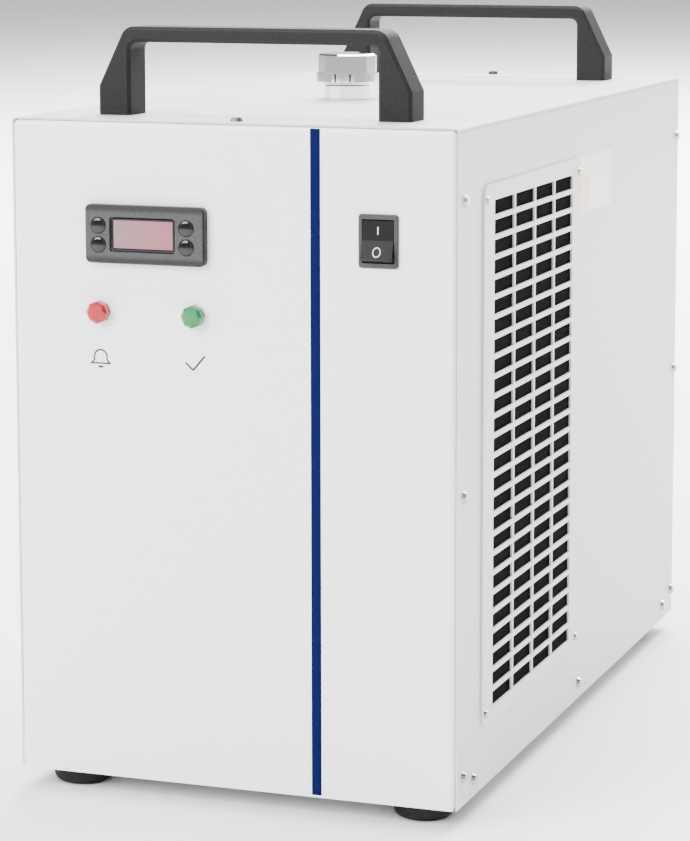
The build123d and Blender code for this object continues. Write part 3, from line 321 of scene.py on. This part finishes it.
# ---------------------------------------------------------------- the printed marks
# One blue line is screen printed down the front panel, with a plain sign under each lamp, and a blank
# pale sheet is stuck on the right side near the top. The other printed places stay bare.
front_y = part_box("front_panel")[0][1]
front_low, front_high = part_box("front_panel")[0][2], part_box("front_panel")[1][2]
ink_depth = 0.00012
stripe_x, stripe_width = 0.0554, 0.0064
sign_drop = 0.0215
stripe_ink = finish("stripe_ink", (0.0008, 0.0025, 0.040), (0.0012, 0.004, 0.055),
                    (0.45, 0.6), 150, 0.00004, shine=0.06)
sign_ink = finish("sign_ink", (0.012, 0.012, 0.014), (0.028, 0.028, 0.03), (0.4, 0.55), 180, 0.00004)
label_film = finish("label_film", (0.86, 0.84, 0.70), (0.92, 0.91, 0.80), (0.3, 0.42), 80, 0.00003)


def carried_band(path, width, lift, normal, closed=False):
    """A thin print whose section, a low arch, is carried along a path on a flat face.

    Across the band the place is path + s times the side direction, s from -width/2 to width/2, and the
    lift over the face is lift times (1 - (2 s / width) to the sixth power). The back lies on the face.
    """
    path = np.asarray(path, float)
    normal = np.asarray(normal, float)
    if closed:
        along = np.roll(path, -1, axis=0) - np.roll(path, 1, axis=0)
    else:
        along = np.gradient(path, axis=0)
    along /= np.linalg.norm(along, axis=1, keepdims=True)
    side = np.cross(along, normal)
    s = np.linspace(-0.5, 0.5, 7)
    arch = lift * (1 - (2 * s) ** 6) + lift * 0.25
    front = path[:, None] + side[:, None] * (s * width)[None, :, None] + normal * arch[None, :, None]
    back = path[:, None] + side[:, None] * (s[::-1] * width)[None, :, None]
    ring = np.concatenate([front, back], axis=1)
    rows, columns = ring.shape[:2]
    if closed:
        ring = np.concatenate([ring, ring[:1]], axis=0)
        return ring, grid_faces(rows + 1, columns)
    ends = [list(range(columns))[::-1], [(rows - 1) * columns + i for i in range(columns)]]
    return ring, grid_faces(rows, columns) + ends


def merged(*parts):
    """Several point grids with their faces as one list of points and one of faces."""
    points, faces, start = [], [], 0
    for grid, quads in parts:
        grid = np.asarray(grid, float).reshape(-1, 3)
        points.append(grid)
        faces += [[start + corner for corner in face] for face in quads]
        start += len(grid)
    return np.concatenate(points), faces


outward = (0.0, -1.0, 0.0)
stripe_path = [(stripe_x, front_y, z) for z in np.linspace(front_low + 0.0015, front_high - 0.0005, 24)]
stripe_points, stripe_faces = carried_band(stripe_path, stripe_width, ink_depth, outward)
piece("front_stripe", stripe_points, stripe_faces, stripe_ink, "cabinet", "white_panel")

alarm_low, alarm_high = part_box("alarm_lens")
normal_low, normal_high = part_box("normal_lens")
alarm_x, normal_x = (alarm_low[0] + alarm_high[0]) / 2, (normal_low[0] + normal_high[0]) / 2
sign_z = alarm_low[2] - sign_drop


def on_front(x, z):
    """Points of the front panel's face for arrays of x and z."""
    x, z = np.broadcast_arrays(np.asarray(x, float), np.asarray(z, float))
    return np.stack([x, np.full(x.shape, front_y), z], axis=-1)


bell_t = np.linspace(0, np.pi, 15)
bell_across = np.concatenate([[0.0062, 0.0042], 0.0042 * np.cos(bell_t), [-0.0042, -0.0062]])
bell_up = np.concatenate([[-0.0036, -0.0016], 0.0006 + 0.0042 * np.sin(bell_t), [-0.0016, -0.0036]])
bell_edge = on_front(alarm_x + bell_across, sign_z + bell_up)
piece("alarm_sign", *merged(
    carried_band(bell_edge, 0.0011, ink_depth, outward),
    carried_band(on_front(alarm_x + np.linspace(-0.0068, 0.0068, 8), sign_z - 0.0036), 0.0011, ink_depth, outward),
    carried_band(on_front(alarm_x + np.linspace(-0.0016, 0.0016, 6), sign_z - 0.0058), 0.0014, ink_depth, outward),
), sign_ink, "cabinet", "white_panel")
tick_edge = on_front(normal_x + np.concatenate([np.linspace(-0.0062, -0.0015, 5), np.linspace(-0.0010, 0.0066, 8)]),
                     sign_z + np.concatenate([np.linspace(-0.0004, -0.0046, 5), np.linspace(-0.0046, 0.0042, 8)]))
piece("normal_sign", *carried_band(tick_edge, 0.0013, ink_depth, outward), sign_ink, "cabinet", "white_panel")

cover_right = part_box("wrap_cover")[1][0]
label_height, field_height = 0.038, 0.026
label_path = [(cover_right, y, 0.368) for y in np.linspace(-0.0205, 0.062, 12)]
piece("blank_label", *carried_band(label_path, label_height, ink_depth, (1.0, 0.0, 0.0)), label_film, "cabinet",
      "white_cover")

field_ink = finish("field_ink", (0.86, 0.70, 0.38), (0.92, 0.78, 0.46), (0.3, 0.42), 80, 0.00003)
field_path = [(cover_right + ink_depth, y, 0.364) for y in np.linspace(-0.018, 0.006, 6)]
piece("blank_label_field", *carried_band(field_path, field_height, ink_depth, (1.0, 0.0, 0.0)), field_ink, "cabinet",
      "white_cover")

# ---------------------------------------------------------------- the grilles and their filters
# A punched steel grille is screwed over each side's opening, white like the cover, and holds a sheet of
# black woven filter cloth that the slots show. Its thin ribs are what the punch leaves between slots.
slots_across, slots_up = 4, 26
slot_area = (0.175, 0.3163)
upright_rib, level_rib = 0.0030, 0.0032
plate_corner = 0.009


def slot_lines(half_plate, area, count, rib):
    """Lines over half_plate either way of the middle, and which gaps between them are slots.

    The slots and the ribs between them fill the middle area, and three lines divide each rounded corner.
    """
    slot = (area - (count - 1) * rib) / count
    starts = -area / 2 + np.arange(count) * (slot + rib)
    edges = np.stack([starts, starts + slot], axis=1).reshape(-1)
    corner = half_plate - plate_corner * np.array([1, 2 / 3, 1 / 3, 0])
    lines = np.concatenate([-corner[::-1], edges, corner])
    punched = np.zeros(len(lines) - 1, bool)
    punched[4 + 2 * np.arange(count)] = True
    return lines, punched


def punched_plate(node):
    """The plate as a lattice of lines, leaving out the cells that are slots in both directions.

    A point in a corner square, at d from the arc's centre, moves to d times max(|dy|, |dz|) / |d|, which
    turns the square corner into a quarter circle. Both faces share the lattice, and walls join them.
    """
    low, high = np.array(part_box(node)[0]), np.array(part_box(node)[1])
    middle, half = (low + high) / 2, (high - low) / 2
    y_lines, y_open = slot_lines(half[1], slot_area[0], slots_across, upright_rib)
    z_lines, z_open = slot_lines(half[2], slot_area[1], slots_up, level_rib)
    y, z = np.meshgrid(y_lines, z_lines, indexing="ij")
    centre_y, centre_z = half[1] - plate_corner, half[2] - plate_corner
    dy, dz = np.maximum(np.abs(y) - centre_y, 0), np.maximum(np.abs(z) - centre_z, 0)
    shrink = np.maximum(dy, dz) / np.maximum(np.hypot(dy, dz), 1e-9)
    in_corner = (dy > 0) & (dz > 0)
    y = np.where(in_corner, np.sign(y) * (centre_y + dy * shrink), y)
    z = np.where(in_corner, np.sign(z) * (centre_z + dz * shrink), z)
    faces_x = [middle[0] - half[0], middle[0] + half[0]]
    points = np.concatenate([np.stack([0 * y + x, y + middle[1], z + middle[2]], axis=-1).reshape(-1, 3)
                             for x in faces_x])
    index = np.arange(y.size).reshape(y.shape)
    solid = np.pad(~(y_open[:, None] & z_open[None, :]), 1)
    cells = np.stack([index[:-1, :-1], index[1:, :-1], index[1:, 1:], index[:-1, 1:]], axis=-1)[solid[1:-1, 1:-1]]
    side_y = np.argwhere(solid[:-1, 1:-1] != solid[1:, 1:-1])
    side_z = np.argwhere(solid[1:-1, :-1] != solid[1:-1, 1:])
    i, j = side_y.T
    upright_rims = np.stack([index[i, j], index[i, j + 1]], axis=1)
    i, j = side_z.T
    level_rims = np.stack([index[i, j], index[i + 1, j]], axis=1)
    rims = np.concatenate([upright_rims, level_rims])
    walls = np.concatenate([rims, rims[:, ::-1] + y.size], axis=1)
    return points, np.concatenate([cells, cells + y.size, walls]).tolist()


for grille in ("right_grille", "left_grille"):
    plate = piece(grille + "_plate", *punched_plate(grille), cover_white_shaded, "cabinet", "white_cover", [grille], False)
    eased = plate.modifiers.new("eased_edges", "BEVEL")
    eased.width = 0.00022
    eased.segments = 2
    eased.limit_method = "ANGLE"
cloth = finish("cloth", (0.004, 0.004, 0.004), (0.02, 0.02, 0.021), (0.7, 0.9), 400, 0.0003)
cloth_nodes = cloth.node_tree.nodes
cloth_place, cloth_warp, cloth_weft = (cloth_nodes.new("ShaderNodeTexCoord"), cloth_nodes.new("ShaderNodeTexWave"),
                                       cloth_nodes.new("ShaderNodeTexWave"))
cloth_pitch = 0.0016
cloth_warp.bands_direction = "Y"
cloth_weft.bands_direction = "Z"
cloth_cross, cloth_tint = cloth_nodes.new("ShaderNodeMath"), cloth_nodes.new("ShaderNodeMix")
cloth_cross.operation = "MAXIMUM"
cloth_tint.data_type = "RGBA"
cloth_tint.inputs["A"].default_value = (0.0002, 0.0002, 0.0002, 1)
cloth_tint.inputs["B"].default_value = (0.002, 0.002, 0.0021, 1)
cloth_nodes["Principled BSDF"].inputs["Specular IOR Level"].default_value = 0.02
for waves in (cloth_warp, cloth_weft):
    waves.inputs["Scale"].default_value = math.pi / (10 * cloth_pitch)
    cloth.node_tree.links.new(cloth_place.outputs["Object"], waves.inputs["Vector"])
cloth.node_tree.links.new(cloth_warp.outputs["Fac"], cloth_cross.inputs[0])
cloth.node_tree.links.new(cloth_weft.outputs["Fac"], cloth_cross.inputs[1])
cloth.node_tree.links.new(cloth_cross.outputs[0], cloth_tint.inputs["Factor"])
cloth.node_tree.links.new(cloth_tint.outputs["Result"], cloth_nodes["Principled BSDF"].inputs["Base Color"])
cloth.node_tree.links.new(cloth_cross.outputs[0], cloth_nodes["relief"].inputs["Height"])
coat_nodes(cloth, "right_filter", "left_filter")

# ---------------------------------------------------------------- the fan
# The fan, its duct and its motor bolt to the rear panel, moulded in black glass-filled plastic, behind
# a guard of chromed wire rings.
fan_plastic = finish("fan_plastic", (0.014, 0.014, 0.015), (0.032, 0.032, 0.034), (0.38, 0.55), 160, 0.00015)
duct_plastic = finish("duct_plastic", (0.016, 0.016, 0.017), (0.04, 0.04, 0.042), (0.45, 0.6), 120, 0.0002)
bright_wire = finish("bright_wire", (0.60, 0.61, 0.62), (0.74, 0.75, 0.76), (0.08, 0.2), 50, 0.00003, metallic=1.0)
coat_nodes(fan_plastic, "fan_rotor")
coat_nodes(duct_plastic, "fan_shroud")
coat_nodes(zinc, "fan_motor")
coat_nodes(bright_wire, "fan_guard")

# ---------------------------------------------------------------- the rear fittings
# Two barbed brass outlets, the drain and its cap are turned and left bright. The level gauge is a clear
# tube in a moulded frame, and the mains inlet with its fuse drawer snaps into the panel.
turned_brass = finish("turned_brass", (0.62, 0.42, 0.16), (0.80, 0.58, 0.26), (0.16, 0.34), 80, 0.00005, metallic=1.0)
washer_rubber = finish("washer_rubber", (0.012, 0.012, 0.012), (0.03, 0.03, 0.03), (0.55, 0.75), 260, 0.00015)
gauge_white = finish("gauge_white", (0.62, 0.63, 0.62), (0.72, 0.73, 0.72), (0.35, 0.5), 130, 0.0001)
gauge_glass = finish("gauge_glass", (0.82, 0.88, 0.90), (0.92, 0.95, 0.96), (0.04, 0.12), 40, 0.00003, clear=0.9)
socket_black = finish("socket_black", (0.010, 0.010, 0.011), (0.022, 0.022, 0.023), (0.3, 0.45), 320, 0.00008)
plated_shell = finish("plated_shell", (0.56, 0.57, 0.58), (0.70, 0.71, 0.72), (0.14, 0.3), 60, 0.00004, metallic=1.0)
coat_nodes(turned_brass, "water_outlet", "water_return", "drain_fitting", "drain_cap")
coat_nodes(washer_rubber, "drain_washer")
coat_nodes(gauge_white, "gauge_frame")
coat_nodes(gauge_glass, "gauge_tube")
coat_nodes(socket_black, "power_inlet", "fuse_drawer")
coat_nodes(plated_shell, "alarm_connector")

# ---------------------------------------------------------------- the temperature controller
# A moulded controller slides into the front panel from outside: a speckled silver-grey bezel with a
# dark tinted window over a pink display, and two domed glossy buttons on each side.
bezel_speckle_and_shade = finish("bezel_speckle_and_shade", (0.006, 0.006, 0.007), (0.09, 0.094, 0.098),
                       (0.35, 0.5), 900, 0.00006, shine=0.25)
case_black = finish("case_black", (0.012, 0.012, 0.013), (0.026, 0.026, 0.027), (0.4, 0.55), 260, 0.0001)
gloss_black = finish("gloss_black", (0.004, 0.004, 0.005), (0.010, 0.010, 0.011),
                     (0.06, 0.14), 120, 0.00002, coat=0.2, shine=0.3)
bezel_low, bezel_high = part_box("controller_bezel")
bezel_nodes, bezel_links = bezel_speckle_and_shade.node_tree.nodes, bezel_speckle_and_shade.node_tree.links
bezel_place, bezel_split, bezel_height, bezel_reach = (
    bezel_nodes.new("ShaderNodeTexCoord"), bezel_nodes.new("ShaderNodeSeparateXYZ"),
    bezel_nodes.new("ShaderNodeMath"), bezel_nodes.new("ShaderNodeMath"))
# The bezel's colour is pulled towards near black in bands along its top and bottom edges and along its right side.
# This is painted shade for the real bezel's rounded edges and proud side face, which turn away from the light.
bezel_edge_shade, bezel_side_shade, bezel_painted_shade, bezel_shade_mix = (
    bezel_nodes.new("ShaderNodeMapRange"), bezel_nodes.new("ShaderNodeMapRange"),
    bezel_nodes.new("ShaderNodeMath"), bezel_nodes.new("ShaderNodeMix"))
bezel_height.operation, bezel_reach.operation, bezel_painted_shade.operation = "SUBTRACT", "ABSOLUTE", "MAXIMUM"
bezel_height.inputs[1].default_value = (bezel_low[2] + bezel_high[2]) / 2
bezel_edge_shade.inputs["From Min"].default_value = 0.0130
bezel_edge_shade.inputs["From Max"].default_value = 0.0155
bezel_edge_shade.inputs["To Max"].default_value = 0.75
bezel_side_shade.inputs["From Min"].default_value = bezel_high[0] - 0.0016
bezel_side_shade.inputs["From Max"].default_value = bezel_high[0] - 0.0008
bezel_shade_mix.data_type = "RGBA"
bezel_shade_mix.inputs["B"].default_value = (0.006, 0.006, 0.007, 1)
bezel_links.new(bezel_place.outputs["Object"], bezel_split.inputs["Vector"])
bezel_links.new(bezel_split.outputs["Z"], bezel_height.inputs[0])
bezel_links.new(bezel_height.outputs[0], bezel_reach.inputs[0])
bezel_links.new(bezel_reach.outputs[0], bezel_edge_shade.inputs["Value"])
bezel_links.new(bezel_split.outputs["X"], bezel_side_shade.inputs["Value"])
bezel_links.new(bezel_edge_shade.outputs["Result"], bezel_painted_shade.inputs[0])
bezel_links.new(bezel_side_shade.outputs["Result"], bezel_painted_shade.inputs[1])
bezel_links.new(bezel_painted_shade.outputs[0], bezel_shade_mix.inputs["Factor"])
bezel_links.new(bezel_nodes["grain"].outputs["Color"], bezel_shade_mix.inputs["A"])
bezel_links.new(bezel_shade_mix.outputs["Result"], bezel_nodes["Principled BSDF"].inputs["Base Color"])
coat_nodes(bezel_speckle_and_shade, "controller_bezel")
coat_nodes(case_black, "controller_case", "controller_clamps")

tint_window = finish("tint_window", (0.36, 0.22, 0.25), (0.52, 0.32, 0.36),
                     (0.08, 0.16), 60, 0.00002, coat=0.1, shine=0.2)
window_nodes, window_links = tint_window.node_tree.nodes, tint_window.node_tree.links
window_low, window_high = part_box("display_window")
window_place, window_split, window_span = (window_nodes.new("ShaderNodeTexCoord"),
                                           window_nodes.new("ShaderNodeSeparateXYZ"),
                                           window_nodes.new("ShaderNodeMapRange"))
window_span.inputs["From Min"].default_value = window_low[0]
window_span.inputs["From Max"].default_value = window_high[0]
# The window's colour runs from greyer pink on the left to deeper pink on the right. The same colour drives a faint
# even emission over the whole window, a painted glow, because nothing lit is modelled behind it.
window_tint_and_painted_glow = window_nodes.new("ShaderNodeMix")
window_tint_and_painted_glow.data_type = "RGBA"
window_tint_and_painted_glow.inputs["A"].default_value = (0.23, 0.155, 0.17, 1)
window_tint_and_painted_glow.inputs["B"].default_value = (0.31, 0.11, 0.14, 1)
window_links.new(window_place.outputs["Object"], window_split.inputs["Vector"])
window_links.new(window_split.outputs["X"], window_span.inputs["Value"])
window_links.new(window_span.outputs["Result"], window_tint_and_painted_glow.inputs["Factor"])
window_links.new(window_tint_and_painted_glow.outputs["Result"], window_nodes["Principled BSDF"].inputs["Base Color"])
window_links.new(window_tint_and_painted_glow.outputs["Result"], window_nodes["Principled BSDF"].inputs["Emission Color"])
window_nodes["Principled BSDF"].inputs["Emission Strength"].default_value = 0.12
coat_nodes(tint_window, "display_window")

window_x, window_z = (window_low[0] + window_high[0]) / 2, (window_low[2] + window_high[2]) / 2
window_half = ((window_high[0] - window_low[0]) / 2 - 0.0009, (window_high[2] - window_low[2]) / 2 - 0.0009)


def rounded_loop(half, corner, steps=6):
    """A closed loop round a rectangle of these half sizes: four quarter circles of the corner's radius."""
    t = np.linspace(0, np.pi / 2, steps)
    centres = np.array([(1, 1), (-1, 1), (-1, -1), (1, -1)]) * (np.array(half) - corner)
    turns = t[None, :] + np.arange(4)[:, None] * np.pi / 2
    ring = centres[:, None, :] + corner * np.stack([np.cos(turns), np.sin(turns)], axis=-1)
    return ring.reshape(-1, 2)


surround_ring = rounded_loop(window_half, 0.0012)
surround_path = np.stack([window_x + surround_ring[:, 0], np.full(len(surround_ring), window_low[1]),
                          window_z + surround_ring[:, 1]], axis=-1)
piece("window_surround", *carried_band(surround_path, 0.0017, 0.00025, outward, closed=True), gloss_black, "cabinet",
      "dark_plastic")

flange_ledge, flange_thickness, dome_rise = 0.00078, 0.0009, 0.0010
for button in ("button_up_left", "button_down_left", "button_up_right", "button_down_right"):
    low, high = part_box(button)
    centre_x, centre_z = (low[0] + high[0]) / 2, (low[2] + high[2]) / 2
    front, back = low[1], high[1]
    flange_r = (high[0] - low[0]) / 2 - 0.00002
    cap_r = flange_r - flange_ledge
    dome = np.linspace(0, np.pi / 2, 8)
    profile = [(0.0, back), (flange_r, back), (flange_r, back - flange_thickness)]
    profile += [(cap_r, back - flange_thickness), (cap_r, front + 1.1 * dome_rise)]
    profile += [(cap_r * math.cos(a), front + dome_rise * (1 - math.sin(a))) for a in dome]
    button_points, button_faces = turned(profile)
    button_points = np.stack([button_points[..., 0] + centre_x, button_points[..., 2],
                              button_points[..., 1] + centre_z], axis=-1)
    piece(button + "_dome", button_points, button_faces, gloss_black, button, "button_plastic", [button])

# ---------------------------------------------------------------- the two lamps
# Each lamp is a faceted plastic lens screwed into a black body behind the panel, red for a fault and
# green for normal running, darker down its sides than on its face.
red_plastic = finish("red_plastic", (0.16, 0.0005, 0.004), (0.66, 0.006, 0.020),
                     (0.08, 0.2), 130, 0.0001, coat=0.15, clear=0.15)
green_plastic = finish("green_plastic", (0.0002, 0.07, 0.020), (0.0006, 0.36, 0.10),
                       (0.08, 0.2), 130, 0.0001, coat=0.15,
                       clear=0.15)
coat_nodes(red_plastic, "alarm_lens")
coat_nodes(green_plastic, "normal_lens")
coat_nodes(case_black, "lamp_bodies")

# ---------------------------------------------------------------- the power rocker
# A rocker tilts in a black snap-in frame. Its two pads carry the plain signs for on and off, printed in
# white, and rock with it.
rocker_black = finish("rocker_black", (0.003, 0.003, 0.0035), (0.007, 0.007, 0.008),
                      (0.4, 0.55), 160, 0.00006, shine=0.15)
frame_grey = finish("frame_grey", (0.035, 0.035, 0.037), (0.060, 0.060, 0.062), (0.3, 0.45), 200, 0.00008, shine=0.2)
sign_white = finish("sign_white", (0.62, 0.62, 0.62), (0.75, 0.75, 0.75), (0.4, 0.5), 200, 0.00003)
coat_nodes(rocker_black, "rocker")
coat_nodes(frame_grey, "rocker_frame")
rocker_low, rocker_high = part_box("rocker")
rocker_x, rocker_z = (rocker_low[0] + rocker_high[0]) / 2, (rocker_low[2] + rocker_high[2]) / 2


def pad_face(z_low, z_high):
    """Where the rocker's face lies at two heights, read along +Y: the first height's y and the slope dy/dz."""
    found = [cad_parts["rocker"].ray_cast((rocker_x + 0.003, -0.4, z), (0, 1, 0)) for z in (z_low, z_high)]
    y_low, y_high = found[0][1][1], found[1][1][1]
    return y_low, (y_high - y_low) / (z_high - z_low)


def on_pad(x, z, z_low, z_high):
    """Points on the pad's plane for arrays of x and z, and the plane's outward direction."""
    y_low, slope = pad_face(z_low, z_high)
    x, z = np.broadcast_arrays(np.asarray(x, float), np.asarray(z, float))
    out = np.array([0.0, -1.0, slope]) / math.hypot(1, slope)
    return np.stack([x, y_low + slope * (z - z_low), z], axis=-1), out


bar_path, bar_out = on_pad(rocker_x, np.linspace(rocker_z + 0.0042, rocker_z + 0.0088, 8), rocker_z + 0.0042,
                           rocker_z + 0.0088)
piece("rocker_on_sign", *carried_band(bar_path, 0.0007, 0.00008, bar_out), sign_white, "rocker", "button_plastic")
off_t = np.linspace(0, 2 * np.pi, 28, endpoint=False)
ring_path, ring_out = on_pad(rocker_x + 0.0023 * np.cos(off_t), rocker_z - 0.0062 + 0.0027 * np.sin(off_t),
                             rocker_z - 0.0088, rocker_z - 0.0040)
piece("rocker_off_sign", *carried_band(ring_path, 0.0006, 0.00008, ring_out, closed=True), sign_white, "rocker",
      "button_plastic")

# ---------------------------------------------------------------- the filler
# A chromed neck rises from the tank through the top, and a faceted chromed cap screws down over it on a
# rubber ring.
chrome = finish("chrome", (0.86, 0.87, 0.88), (0.95, 0.95, 0.96), (0.03, 0.08), 35, 0.00002, metallic=1.0)
coat_nodes(chrome, "filler_cap", "filler_neck")
coat_nodes(washer_rubber, "filler_gasket")

# ---------------------------------------------------------------- the handles
# Two carrying handles are moulded in dark grey nylon, with a fine leather-like grain, and bolted through
# the top from inside.
handle_nylon = finish("handle_nylon", (0.008, 0.008, 0.0085), (0.020, 0.020, 0.021),
                      (0.5, 0.65), 480, 0.00022, shine=0.12)
coat_nodes(handle_nylon, "front_handle", "rear_handle")

# ---------------------------------------------------------------- the screws and bolts
# The cover and grilles are held by nickel-plated screws with domed heads, and the feet and the handles by
# zinc-plated bolts.
nickel = finish("nickel", (0.30, 0.30, 0.31), (0.46, 0.46, 0.47), (0.16, 0.3), 90, 0.00004, metallic=1.0)
coat_nodes(nickel, "cabinet_screws")
coat_nodes(zinc, "bolts")
